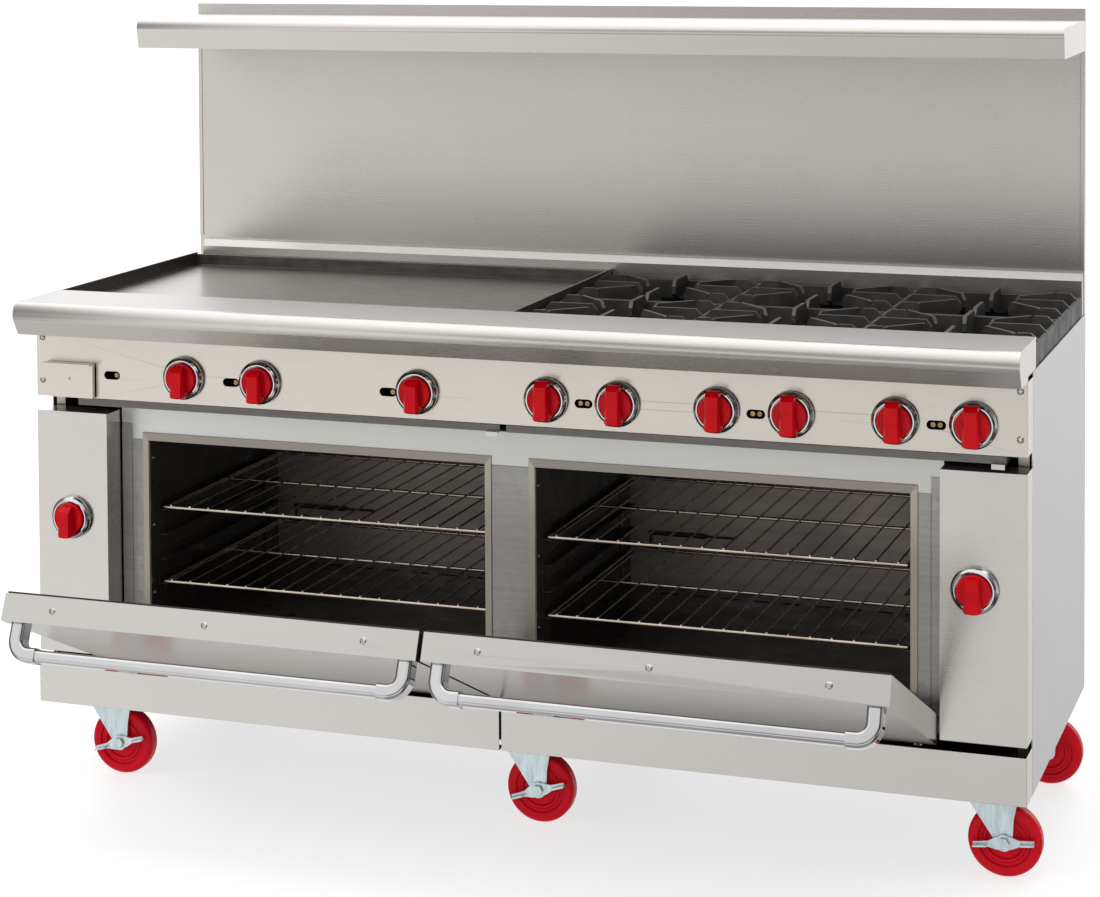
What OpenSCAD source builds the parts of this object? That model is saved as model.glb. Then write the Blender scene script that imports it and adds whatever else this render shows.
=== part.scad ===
// A 72 inch gas restaurant range: griddle, six open burners, two ovens with drop-down doors,
// back guard with high shelf, on six casters. Millimetres, +Z up, +Y to the back. The origin is on
// the floor under the middle of the outer box. Every part is drawn from the plane of the front faces
// and the middle of the cabinet, then moved to the origin. The oven doors are drawn part open, which
// is the rest pose of the range.

/* [Cabinet] */
// width across the outer panels
body_w = 1829; // [1810:1:1860]
// depth from the front faces to the back panel
body_d = 742; // [730:1:780]
// height of the underside of the cabinet
skirt_z = 145; // [145:1:160]
// height of the side panels, on which the cooking tops stand
deck_z = 856; // [850:1:880]
// height of the back guard
total_h = 1433; // [1250:1:1600]
// thickness of the visible sheet metal
sheet = 2; // [1.5:0.5:2.5]

/* [Ovens and doors] */
// width of each oven cavity
oven_w = 663; // [640:1:670]
// height of the oven floor
oven_floor_z = 290; // [280:1:300]
// height of the oven ceiling
oven_top_z = 640; // [620:1:645]
// angle each oven door stands open
door_rest = 66.5; // [0:0.5:88]
// thickness of each oven door
door_t = 48; // [40:1:50]

/* [Cooking tops] */
// width of one burner column, twelve inches
module_w = 304.8; // [300:0.1:306]
// height of the griddle plate above the deck
plate_rise = 28; // [20:1:35]
// height of the grates above the deck
grate_rise = 52; // [46:1:54]

/* [Knobs] */
// outer diameter of the chrome ring behind each knob
bezel_d = 79; // [78:1:82]
// how far the grip stands in front of the panel
knob_reach = 40; // [34:1:46]

/* [Casters] */
// wheel diameter
wheel_d = 124; // [110:1:124]
// wheel width
wheel_w = 32; // [28:1:34]
// how far the axle trails behind the swivel
trail = 24; // [18:1:28]

/* [Hidden] */
$fn = 48;
half_w = body_w / 2;

// heights and depths that follow from the deck and the underside
ledge_top = deck_z + 54;
ledge_back = 90;
panel_low = deck_z - 132;
panel_high = deck_z - 8;
knob_z = deck_z - 83;
manifold_z = deck_z - 116;
tray_z = deck_z - 148;
wrap = 57;
column_high = deck_z - 160;
column_low = skirt_z + 97;
kick_high = skirt_z + 81.5;
frame_low = skirt_z + 10;
frame_high = frame_low + 40;

// layout across the width
column_in = half_w - 144;
oven_x = 379.5;
oven_in = oven_w / 2;
door_gap = 8;
door_w = column_in - 3.5 - door_gap / 2;
frame_y = 58;
frame_t = 4;
liner_end = 655;

// door outline and the hinge line under it
door_y = frame_y - 4 - door_t;
door_low = column_low + 1;
door_high = column_high - 6;
hinge = [10, column_low - 10];

// handle sections, as [depth, height], and the line of the bar on the closed door
elbow = [26, 36];
bar = [21, 31];
handle_round = 7;
bar_line = [door_y - 51, door_high - 31];

// knobs on the control panel, their pilot slots, and the two oven dials
burner_x = [module_w / 2, module_w * 1.5, module_w * 2.5];
griddle_knob_x = [-module_w * 2, -module_w * 1.5, -module_w / 2];
knob_pair = 64.7;
top_knob_x = concat(griddle_knob_x, [for (x = burner_x) each [x - knob_pair, x + knob_pair]]);
slot_x = [-758, -516, -209, 155, 460, 765];
dial_x = [-843, 829];
dial_z = 499;
knob_r = 29;
grip_flare = 3;

// grates: two rows of three
grate_w = 301.5;
grate_d = 296;
grate_pitch = [303.5, 299];
grate_start = [5, 92];
grate_foot = 4;
burner_y = [grate_start.y + grate_d / 2, grate_start.y + grate_pitch.y + grate_d / 2];

// casters: three across the front, three across the back
caster_xy = [for (y = [80, 600], x = [-804, 26, 844]) [x, y]];
caster_name = ["front_left", "front_middle", "front_right", "rear_left", "rear_middle", "rear_right"];
lever_tilt = [-16, -18, -6];
wheel_r = wheel_d / 2;
axle_r = 6;
crown_z = 129;

// racks: levels of the guides, and which level each rack stands on
rack_half = 320;
rack_y = [94, 640];
guide_z = [363.7, 410.7, 457.7, 504.7];
rack_name = ["left_lower", "left_upper", "right_lower", "right_upper"];

// grease drawer opening at the left of the panel
drawer_x = [-881, -795];
drawer_z = [panel_low + 4, panel_low + 57];

// middle of the outer box, between the handles at rest and the gas inlet
inlet_end = body_d + 40;
handle_support = (elbow.x / 2 - handle_round) * cos(door_rest) + (elbow.y / 2 - handle_round) * sin(door_rest)
    + handle_round;
handle_front = hinge.x + (bar_line.x - hinge.x) * cos(door_rest) - (bar_line.y - hinge.y) * sin(door_rest)
    - handle_support;
wheel_out = caster_xy[2].x + trail + wheel_r;
middle = [(wheel_out - half_w) / 2, (min(handle_front, -92) + inlet_end) / 2];

steel = [0.78, 0.78, 0.76];
chrome = [0.88, 0.89, 0.9];
iron = [0.2, 0.2, 0.21];
dark = [0.12, 0.12, 0.12];
zinc = [0.7, 0.73, 0.76];
red = [0.75, 0.04, 0.06];
brass = [0.76, 0.6, 0.28];

knob_name = [
    "griddle_left", "griddle_middle", "griddle_right",
    "burner_1_rear", "burner_1_front", "burner_2_rear", "burner_2_front", "burner_3_rear", "burner_3_front",
    "oven_left", "oven_right"
];

// ---- shapes used throughout ----

// a box given by its low and high limits on each axis
module block(x, y, z) {
    translate([x[0], y[0], z[0]])
        cube([x[1] - x[0], y[1] - y[0], z[1] - z[0]]);
}

// the same box and its mirror image on the other side of the range
module both_sides() {
    children();
    mirror([1, 0, 0])
        children();
}

// a round bar along X between two limits
module rod_x(r, x) {
    translate([x[0], 0, 0])
        rotate([0, 90, 0])
            cylinder(r = r, h = x[1] - x[0]);
}

// a round bar along Y between two limits
module rod_y(r, y) {
    translate([0, y[0], 0])
        rotate([-90, 0, 0])
            cylinder(r = r, h = y[1] - y[0]);
}

// an outline drawn in (Y, Z), swept along X
module sweep_x(x) {
    translate([x[0], 0, 0])
        rotate([90, 0, 90])
            linear_extrude(x[1] - x[0])
                children();
}

// an outline drawn in (X, Z), swept along Y
module sweep_y(y) {
    translate([0, y[1], 0])
        rotate([90, 0, 0])
            linear_extrude(y[1] - y[0])
                children();
}

// a rectangle with round corners, centred
module round_rect(w, h, r) {
    square([w - 2 * r, h], center = true);
    square([w, h - 2 * r], center = true);
    for (x = [-1, 1], y = [-1, 1])
        translate([x * (w / 2 - r), y * (h / 2 - r)])
            circle(r);
}

// a domed screw head with a cross recess, standing on the plane z = 0
module screw_head(r, h) {
    cap_r = (r * r + h * h) / (2 * h);
    difference() {
        intersection() {
            translate([0, 0, h - cap_r])
                sphere(cap_r);
            cylinder(r = r, h = h);
        }
        for (a = [0, 90])
            rotate([0, 0, a])
                block([-r * 0.6, r * 0.6], [-0.9, 0.9], [h * 0.3, h + 1]);
    }
}

// ---- cabinet ----

// welded tube frame: bottom ring, corner posts, oven bearers and tray bars
module base_frame() {
    post_x = [half_w - 24.5, half_w - 6.5];
    side_x = [half_w - 46.5, half_w - 6.5];
    tube_z = [frame_low, frame_high];
    bearer_z = oven_floor_z - sheet;
    color(dark) {
        for (y = [[30, 70], [580, 620], [body_d - 48, body_d - 8]])
            block([-half_w + 6.5, half_w - 6.5], y, tube_z);
        block([-20, 20], [frame_y + 14, 100], [frame_low, column_high - 6]);
        block([-side_x[0] - 1, side_x[0] + 1], [69, body_d - 47], [frame_low, frame_low + sheet]);
        block([-20, 20], [99, body_d - 40], tube_z);
        both_sides() {
            block(side_x, [60, body_d - 40], tube_z);
            for (y = [[64, 96], [body_d - 44, body_d - 8]])
                block(post_x, y, [frame_low, deck_z - 6]);
            block(post_x, [64, body_d - 8], [deck_z - 44, deck_z - 6]);
            for (y = [250, 500])
                block(post_x, [y, y + 20], [tray_z - 6, deck_z - 10]);
            for (y = [120, 560])
                block(side_x, [y, y + 30], [frame_low, bearer_z]);
        }
        for (y = [120, 560])
            block([-side_x[0] - 1, side_x[0] + 1], [y, y + 30], [bearer_z - 40, bearer_z]);
        for (y = [250, 500])
            block([-post_x[0] - 1, post_x[0] + 1], [y, y + 20], [tray_z - 6, tray_z - 0.5]);
    }
}

// left and right side panels with folded edges, and the vented back panel
module outer_panels() {
    fold = 18;
    start = wrap + 2;
    skin_x = [half_w - sheet, half_w];
    fold_x = [half_w - sheet - fold, half_w - sheet / 2];
    color(steel) {
        both_sides() {
            block(skin_x, [start, body_d], [skirt_z, deck_z]);
            block(fold_x, [body_d - sheet, body_d], [skirt_z, deck_z]);
            block(fold_x, [96, body_d], [deck_z - sheet, deck_z]);
            block(fold_x, [start, body_d], [skirt_z, skirt_z + sheet]);
        }
        difference() {
            block([-fold_x[0] + 0.5, fold_x[0] - 0.5], [body_d - sheet, body_d], [skirt_z + 5, deck_z]);
            for (i = [0:7], x = [-380, 380])
                block([x - 110, x + 110], [body_d - 5, body_d + 1], [300 + i * 30, 306 + i * 30]);
            translate([870, 0, manifold_z])
                rod_y(15, [body_d - 5, body_d + 1]);
        }
    }
}

// the two box columns beside the ovens, each with a hole for its oven dial
module control_columns() {
    color(steel)
        for (s = [0, 1])
            difference() {
                mirror([1 - s, 0, 0])
                    difference() {
                        block([column_in, half_w], [0, wrap], [column_low, column_high]);
                        block([column_in + sheet, half_w - sheet], [sheet, wrap + 1],
                              [column_low + sheet, column_high - sheet]);
                    }
                translate([dial_x[s], 0, dial_z])
                    rod_y(7, [-1, sheet + 1]);
            }
}

// sheet face around both oven mouths: lintel, jambs with seams, trim round each mouth, hinge ears
module front_frame() {
    low = column_low - 6;
    high = deck_z - 156;
    lip_y = [frame_y - 3, frame_y + 1];
    seam_x = column_in - 23.5;
    mouth_z = [oven_floor_z, oven_top_z];
    color(steel) {
        difference() {
            block([-column_in + 2.5, column_in - 2.5], [frame_y, frame_y + frame_t], [low, high]);
            for (s = [-1, 1])
                translate([s * oven_x, 0, 0])
                    block([-oven_in, oven_in], [frame_y - 1, frame_y + frame_t + 1], mouth_z);
            groove_y = [frame_y - 1, frame_y + 1.5];
            both_sides() {
                block([seam_x - 1, seam_x + 1], groove_y, [low - 1, high - 28]);
                block([seam_x - 1, column_in], groove_y, [high - 30, high - 28]);
                block([oven_x + oven_in - 1, seam_x + 1], groove_y, [oven_top_z + 1, oven_top_z + 2.5]);
            }
            block([oven_in - oven_x - 1, oven_x - oven_in + 1], groove_y, [oven_top_z - 2, oven_top_z - 0.5]);
        }
        block([-column_in + 2.5, column_in - 2.5], [frame_y, frame_y + 32], [high - sheet, high]);
        for (s = [-1, 1]) {
            mouth = [s * oven_x - oven_in, s * oven_x + oven_in];
            block([mouth[0] - 13, mouth[1] + 13], lip_y, [oven_top_z, oven_top_z + 15]);
            for (x = [mouth[0] - 13, mouth[1] + 1])
                block([x, x + 12], lip_y, mouth_z);
            for (e = [-1, 1])
                hinge_ears(s * (door_gap + door_w) / 2 + e * (door_w / 2 - 33));
        }
        hinge_fold = [frame_y, frame_y + 12];
        block([-column_in + 2.5, column_in - 2.5], hinge_fold, [low, low + sheet]);
    }
}

// one pair of fixed ears with the hinge pin between them
module hinge_ears(x) {
    ear_t = 3;
    gap = 3.4;
    for (s = [-1, 1])
        block([x + s * (gap + ear_t / 2) - ear_t / 2, x + s * (gap + ear_t / 2) + ear_t / 2],
              [hinge.x - 5.5, frame_y + 1], [kick_high + 0.7, column_low - 2]);
    translate([0, hinge.x, hinge.y])
        rod_x(2.9, [x - gap - ear_t, x + gap + ear_t]);
}

// both oven cavities, open at the front
module oven_liners() {
    wall = 2;
    color(dark)
        for (s = [-1, 1])
            translate([s * oven_x, 0, 0])
                difference() {
                    block([-oven_in - wall, oven_in + wall], [frame_y + frame_t, liner_end + wall],
                          [oven_floor_z - wall, oven_top_z + wall]);
                    block([-oven_in, oven_in], [frame_y, liner_end], [oven_floor_z, oven_top_z]);
                    for (i = [-4:4])
                        block([i * 60 - 18, i * 60 + 18], [600, 612],
                              [oven_floor_z - wall - 1, oven_floor_z + 1]);
                }
}

// pressed side racks in both ovens: four ledges on two uprights each side
module rack_guides() {
    color(chrome)
        for (s = [-1, 1])
            translate([s * oven_x, 0, 0])
                both_sides() {
                    for (y = [120, 580])
                        block([oven_in - 2, oven_in], [y, y + 20], [oven_floor_z + 30, guide_z[3] + 40]);
                    for (z = guide_z) {
                        block([oven_in - 17, oven_in], [90, 632], [z - 2, z]);
                        block([oven_in - 2, oven_in], [90, 632], [z - 2, z + 12]);
                    }
                }
}

// thermostat bulb and capillary clipped to the back of each oven
module thermostat_bulbs() {
    start = 42 - oven_in;
    bulb_y = liner_end - 6;
    color(dark)
        for (s = [-1, 1])
            translate([s * oven_x + start, 0, 0]) {
                translate([0, bulb_y, 398])
                    rod_x(4.5, [0, 112]);
                translate([112, bulb_y, 398])
                    rod_x(2, [-1, 60]);
                translate([0, bulb_y, 398])
                    sphere(4.5);
                translate([0, bulb_y, 376])
                    cylinder(r = 2, h = 22);
                for (x = [30, 90])
                    block([x, x + 8], [bulb_y, liner_end], [394, 402]);
            }
}

// skirt below the ovens in two pieces
module kick_plates() {
    face_y = -5;
    color(steel)
        both_sides() {
            block([2, half_w], [face_y, face_y + sheet], [skirt_z, kick_high]);
            block([half_w - sheet, half_w], [face_y, wrap], [skirt_z, kick_high]);
            block([2, half_w - 4], [face_y, 24], [skirt_z, skirt_z + sheet]);
            for (x = [120, half_w - 150])
                block([x, x + 30], [face_y + 1, 30], [frame_low + 15, frame_low + 18]);
        }
}

// ---- front controls ----

// the panel the knobs stand on, with shaft holes, pilot slots and the drawer opening
module control_panel() {
    color(steel)
        difference() {
            union() {
                block([-half_w, half_w], [0, sheet], [panel_low, panel_high]);
                for (x = [-half_w, half_w - sheet])
                    block([x, x + sheet], [0, wrap], [panel_low, panel_high]);
                block([-half_w + 5, half_w - 5], [0, 22], [panel_low, panel_low + sheet]);
                block([-half_w + 5, half_w - 5], [0, 34], [panel_high - sheet, panel_high]);
            }
            block([drawer_x[0] - 4, drawer_x[1] + 4], [-1, sheet + 1], [drawer_z[0] - 1.5, drawer_z[1] + 2]);
            for (x = top_knob_x)
                translate([x, 0, knob_z])
                    rod_y(7, [-1, sheet + 1]);
            for (x = slot_x)
                translate([x, 0, knob_z - 4])
                    sweep_y([-1, sheet + 1])
                        round_rect(32, 15, 7.4);
        }
}

// hollow landing ledge with a rolled front edge and closed ends
module landing_ledge() {
    color(steel)
        difference() {
            sweep_x([-half_w, half_w])
                ledge_outline(0);
            sweep_x([-half_w + sheet, half_w - sheet])
                ledge_outline(sheet);
            block([-half_w + 40, half_w - 40], [-52, -16], [panel_high, panel_high + 6]);
        }
}

// side outline of the ledge, drawn inwards by t
module ledge_outline(t) {
    roll_r = 22;
    roll = [-70, ledge_top - roll_r];
    toe = [-72, deck_z - 7];
    toward_toe = toe - roll;
    turn = atan2(toward_toe.y, toward_toe.x) - acos(roll_r / norm(toward_toe));
    tangent = roll + (roll_r - t) * [cos(turn), sin(turn)];
    translate(roll)
        circle(roll_r - t);
    polygon([
        tangent,
        toe + [t * 0.9, t],
        [1 - t, toe.y + t],
        [1 - t, deck_z + 1 + t],
        [ledge_back - t, deck_z + 1 + t],
        [ledge_back - t, ledge_top - t],
        [roll.x, ledge_top - t],
        roll
    ]);
}

// chrome rings round the eleven knobs
module knob_bezels() {
    r = bezel_d / 2;
    color(chrome) {
        for (x = top_knob_x)
            translate([x, 0, knob_z])
                bezel(r);
        for (i = [0, 1])
            translate([dial_x[i], 0, dial_z])
                bezel(r);
    }
}

// one ring: a short neck on the panel opening out, then sloping in to a raised lip round the knob
module bezel(r) {
    rotate([90, 0, 0])
        rotate_extrude()
            polygon([[r - 8.5, 0], [r - 3, 0], [r, 5], [r, 9], [r - 2.5, 12.5], [r - 6, 15], [r - 8, 15],
                     [r - 8.5, 14]]);
}

// one knob: round body, raised wedge grip reaching up to z = up, and the stem that turns the valve
module knob(up) {
    face = knob_reach - 19;
    toe = knob_r + 5;
    top_w = 9.5;
    toe_w = 12;
    color(red) {
        rotate([90, 0, 0])
            rotate_extrude()
                polygon([[0, 3], [knob_r - 6, 3], [knob_r - 4, 9], [knob_r, 11], [knob_r, face - 3],
                         [knob_r - 1, face - 1], [knob_r - 4, face], [0, face]]);
        difference() {
            sweep_y([-knob_reach, -face + 3])
                intersection() {
                    polygon([[-top_w - 2, up], [top_w + 2, up], [top_w + 3, 0], [toe_w + 3, -toe + 9],
                             [toe_w + 3, -toe], [-toe_w - 3, -toe], [-toe_w - 3, -toe + 9], [-top_w - 3, 0]]);
                    union() {
                        circle(toe);
                        translate([-knob_r, 0])
                            square([2 * knob_r, up]);
                    }
                }
            for (s = [-1, 1])
                translate([s * (top_w + 0.5), -knob_reach, up])
                    rotate([0, s * grip_flare, s * 60])
                        block([-12, 12], [-16, 0], [-90, 20]);
            translate([0, -knob_reach, up - 9])
                rotate([-50, 0, 0])
                    block([-30, 30], [-30, 0], [-1, 60]);
            translate([0, -knob_reach, -toe + 3])
                rotate([55, 0, 0])
                    block([-30, 30], [-30, 0], [-60, 0]);
        }
        rod_y(4, [-12, 30]);
    }
}

// ---- gas ----

// supply manifold behind the panel, with the inlet running out at the back
module gas_manifold() {
    pipe_r = 13.35;
    inlet_x = 870;
    nut_y = [body_d + 1, body_d + 10];
    color(iron)
        translate([0, 0, manifold_z]) {
            translate([0, 46, 0])
                rod_x(pipe_r, [-778, inlet_x]);
            translate([inlet_x, 46, 0])
                sphere(pipe_r);
            translate([inlet_x, 0, 0]) {
                rod_y(pipe_r, [46, inlet_end]);
                translate([0, nut_y[0], 0])
                    rotate([-90, 0, 0])
                        cylinder(r = 22, h = nut_y[1] - nut_y[0], $fn = 6);
            }
        }
}

// a valve for every knob, the pilot valves behind the slots and the two oven thermostats
module gas_valves() {
    pilot_z = knob_z - 4;
    color(brass) {
        for (x = top_knob_x)
            translate([x, 0, knob_z])
                difference() {
                    union() {
                        rod_y(13, [12, 62]);
                        rod_y(5, [60, 92]);
                        translate([0, 46, manifold_z + 13.4 - knob_z])
                            cylinder(r = 10, h = 14, $fn = 6);
                    }
                    rod_y(4.06, [11, 32]);
                }
        for (i = [0:5])
            for (dx = (i < 3) ? [8] : [-6, 6])
                translate([slot_x[i] + dx, 0, 0])
                    pilot_valve(pilot_z);
        for (x = dial_x)
            translate([x, 0, dial_z])
                difference() {
                    union() {
                        block([-30, 30], [20, 56], [-28, 28]);
                        rod_y(11, [8, 22]);
                    }
                    rod_y(4.06, [7, 34]);
                }
    }
}

// a thin tube up from the manifold, ending in a slotted screw behind the panel
module pilot_valve(z) {
    foot = manifold_z + 13.4;
    difference() {
        translate([0, 0, z])
            rod_y(4.2, [3, 50]);
        block([-5, 5], [2, 4.5], [z - 0.6, z + 0.6]);
    }
    translate([0, 46, foot])
        cylinder(r = 3, h = z - foot);
}

// ---- cooking tops ----

// thick griddle plate with splash walls on three sides, a grease trough and its drop tube
module griddle() {
    left = -half_w + 2.5;
    wall = 4;
    back = 694;
    trough_y = 130;
    plate_z = deck_z + plate_rise;
    rim_z = deck_z + 1;
    tube = [-838, 110];
    color(steel)
        difference() {
            union() {
                block([left, -2], [trough_y, back], [plate_z - 18, plate_z]);
                block([left, left + wall], [94, back], [rim_z, ledge_top]);
                block([-2 - wall, -2], [94, back], [rim_z, ledge_top]);
                block([left, -2], [back - wall, back], [rim_z, ledge_top - 4]);
                block([left, -2], [94, 94 + sheet], [rim_z, plate_z]);
                block([left, -2], [94, trough_y + 1], [rim_z, rim_z + sheet]);
                block([left, -2], [trough_y, trough_y + sheet], [rim_z, plate_z]);
                translate([tube.x, tube.y, deck_z - 66])
                    cylinder(r = 13, h = 67);
            }
            translate([tube.x, tube.y, deck_z - 67])
                cylinder(r = 11.5, h = 75);
        }
}

// open steel box under the grates, with crumb openings and holes for the burner tubes
module burner_box() {
    x = [1, half_w - 27];
    y = [96, 694];
    z = [deck_z - 101, deck_z + 3.5];
    color(dark)
        difference() {
            block(x, y, z);
            block([x[0] + sheet, x[1] - sheet], [y[0] + sheet, y[1] - sheet], [z[0] + sheet, z[1] + 1]);
            for (c = burner_x, row = burner_y)
                block([c - 40, c + 40], [row + 55, row + 110], [z[0] - 1, z[0] + sheet + 1]);
            for (c = burner_x, s = [-1, 1])
                translate([c + s * knob_pair, 0, knob_z])
                    rod_y(13.5, [y[0] - 1, y[0] + sheet + 1]);
        }
}

// cast burners: six open heads on their tubes, three tubes under the griddle, one under each oven
module burners() {
    color(iron) {
        for (c = burner_x)
            for (row = [0, 1])
                open_burner(c, burner_y[row], (row == 0 ? 1 : -1) * knob_pair);
        for (x = griddle_knob_x)
            translate([x, 0, knob_z])
                tube_burner([104, 650]);
        for (s = [-1, 1])
            translate([s * oven_x, 0, frame_high + 22])
                tube_burner([84, 620]);
    }
}

// a burner head at (x, y), fed by a mixing tube set to one side
module open_burner(x, y, side) {
    head_z = deck_z + 8;
    head_r = 44;
    translate([x + side, 0, knob_z])
        rod_y(12, [100, y]);
    translate([x, y, knob_z])
        block([min(0, side) - 10, max(0, side) + 10], [-13, 13], [-13, 13]);
    translate([x, y, 0])
        rotate_extrude()
            polygon([[0, knob_z - 12], [18, knob_z - 12], [20, head_z - 40], [head_r, head_z - 22],
                     [head_r, head_z - 14], [head_r - 4, head_z - 12], [head_r - 4, head_z - 8],
                     [head_r - 14, head_z], [0, head_z]]);
}

// a straight tube burner with a flared mixing end and a row of port bosses
module tube_burner(y) {
    rod_y(16, [y[0] + 30, y[1]]);
    translate([0, y[0], 0])
        rotate([-90, 0, 0])
            cylinder(r1 = 24, r2 = 16, h = 31);
    block([-6, 6], [y[0] + 90, y[1] - 10], [10, 19]);
}

// six cast grates in two rows of three
module top_grates() {
    color(iron)
        for (i = [0:2], j = [0, 1])
            translate([grate_start.x + i * grate_pitch.x + grate_w / 2,
                       grate_start.y + j * grate_pitch.y + grate_d / 2, deck_z + grate_foot])
                grate(grate_rise - grate_foot);
}

// one grate of height top, centred, standing on z = 0: a deep rim carrying eight raised fingers
module grate(top) {
    wall = 6;
    rim_top = top - 13;
    reach = [grate_w / 2, grate_d / 2];
    outer = [reach.x - 44, reach.y - 48];
    inner = [46, 34];
    across = outer - inner;
    difference() {
        block([-reach.x, reach.x], [-reach.y, reach.y], [0, rim_top]);
        block([-reach.x + wall, reach.x - wall], [-reach.y + wall, reach.y - wall], [-1, top]);
    }
    for (a = [0, 180])
        rotate([0, 0, a])
            finger(48, reach.x - 1, top, rim_top);
    for (a = [90, 270])
        rotate([0, 0, a])
            finger(48, reach.y - 1, top, rim_top);
    for (sx = [0, 1], sy = [0, 1])
        mirror([sx, 0, 0])
            mirror([0, sy, 0]) {
                translate([inner.x, inner.y, 0])
                    rotate([0, 0, atan2(across.y, across.x)])
                        finger(0, norm(across) + 3, top, top - 2);
                translate([0, outer.y, 0])
                    finger(outer.x - 2, reach.x - 1, top, rim_top);
            }
}

// an upright blade along +X, bevelled at its inner end and falling to rim_top at its outer end
module finger(start, end, top, rim_top) {
    w = 7;
    drop = top - rim_top;
    rotate([90, 0, 0])
        translate([0, 0, -w / 2])
            linear_extrude(w)
                polygon([[start, top - 12], [start + 9, top], [end - drop, top], [end, rim_top],
                         [end, rim_top - 24], [start + 14, top - 36], [start, top - 26]]);
}

// ---- back guard and shelf ----

// hollow back guard with hemmed sides and a sloped riser at its foot
module back_guard() {
    face_y = body_d - 20;
    riser = [700, face_y + 1];
    low = deck_z + 1;
    riser_z = deck_z + 81;
    color(steel) {
        difference() {
            block([-half_w, half_w], [face_y, body_d], [low, total_h]);
            block([-half_w + sheet, half_w - sheet], [face_y + sheet, body_d - sheet],
                  [low - 1, total_h - sheet]);
        }
        both_sides()
            block([half_w - 8, half_w], [face_y - 1.5, face_y + 1], [riser_z + 6, total_h - 82]);
        difference() {
            riser_block([-half_w + 16, half_w - 1.5], riser, [low, riser_z], 0);
            riser_block([-half_w + 16 + sheet, half_w - 1.5 - sheet], riser, [low - 3, riser_z], sheet);
        }
    }
}

// the riser at the foot of the guard, its top sloping down to the front, drawn inwards by t
module riser_block(x, y, z, t) {
    slope = 14;
    sweep_x(x)
        polygon([[y[0] + t, z[0]], [y[1], z[0]], [y[1], z[1] - t], [y[0] + 8, z[1] - t],
                 [y[0] + t, z[1] - slope - t]]);
}

// high shelf: rolled front edge, closed ends, stiffeners and fixing flange underneath
module high_shelf() {
    back = body_d - 20 - 0.5;
    front = 432;
    top = total_h - 23;
    low = total_h - 80;
    roll_r = 15;
    color(steel) {
        difference() {
            sweep_x([-half_w, half_w])
                shelf_outline(front, back, low, top, roll_r, 0);
            sweep_x([-half_w + sheet, half_w - sheet])
                shelf_outline(front, back - sheet, low, top, roll_r, sheet);
            block([-half_w + sheet, half_w - sheet], [front + 24, back - 24], [low - 1, low + sheet + 1]);
        }
        for (x = [-half_w / 3, half_w / 3])
            block([x - 1, x + 1], [front + 20, back - 1], [top - 40, top - 1]);
    }
}

// side outline of the shelf, drawn inwards by t
module shelf_outline(front, back, low, top, roll_r, t) {
    translate([front + roll_r, top - roll_r])
        circle(roll_r - t);
    polygon([
        [front + t, top - roll_r], [front + 7 + t, low + t], [back, low + t], [back, top - t],
        [front + roll_r, top - t], [front + roll_r, top - roll_r]
    ]);
}

// screws on the control panel corners and along the oven flanges
module panel_screws() {
    color(zinc) {
        both_sides()
            for (z = [deck_z - 23, deck_z - 103])
                translate([half_w - 12, 0, z])
                    rotate([90, 0, 0])
                        screw_head(6, 3);
        for (s = [-1, 1], e = [-1, 1], z = [350, 478, 605])
            translate([s * oven_x + e * oven_in, 72, z])
                rotate([0, -e * 90, 0])
                    screw_head(4.5, 2.5);
    }
}

// ---- oven doors, drawn closed and then swung to the rest angle ----

// swings a closed door about its hinge line
module swing_door() {
    translate([0, hinge.x, hinge.y])
        rotate([door_rest, 0, 0])
            translate([0, -hinge.x, -hinge.y])
                children();
}

// places a door drawn around x = 0 in the left (-1) or right (+1) bay
module at_door(side) {
    translate([side * (door_gap + door_w) / 2, 0, 0])
        swing_door()
            children();
}

// hollow door with a raised inner panel, bottom vents, hinge knuckles and three top screws
module door_panel() {
    wall = 2;
    half = door_w / 2;
    back = door_y + door_t;
    color(steel)
        difference() {
            union() {
                block([-half, half], [door_y, back], [door_low, door_high]);
                for (s = [-1, 1])
                    hinge_knuckle(s * (half - 33));
                for (x = [-286.5, 0, 286.5])
                    translate([x, door_y + door_t / 2, door_high])
                        screw_head(6, 2.5);
            }
            block([-half + wall, half - wall], [door_y + wall, back - wall], [door_low + wall, door_high - wall]);
            for (x = [-240, -80, 80, 240])
                block([x - 40, x + 40], [door_y + 16, back - 16], [door_low - 1, door_low + wall + 1]);
            for (s = [-1, 1])
                translate([s * (half - 33), hinge.x, hinge.y])
                    rod_x(2.96, [-10, 10]);
        }
}

// the eye under the door that turns on the hinge pin
module hinge_knuckle(x) {
    translate([x, hinge.x, hinge.y])
        rod_x(5.2, [-3, 3]);
    block([x - 3, x + 3], [hinge.x - 4, hinge.x + 5.2], [hinge.y, door_low + 1]);
}

// rope seal round the inner face of a door
module door_gasket() {
    half = door_w / 2 - 3;
    low = door_low + 5;
    high = door_high - 3;
    seal_w = 12;
    back = door_y + door_t;
    color(dark)
        difference() {
            block([-half, half], [back, back + 3.5], [low, high]);
            block([-half + seal_w, half - seal_w], [back - 1, back + 5], [low + seal_w, high - seal_w]);
        }
}

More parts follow.
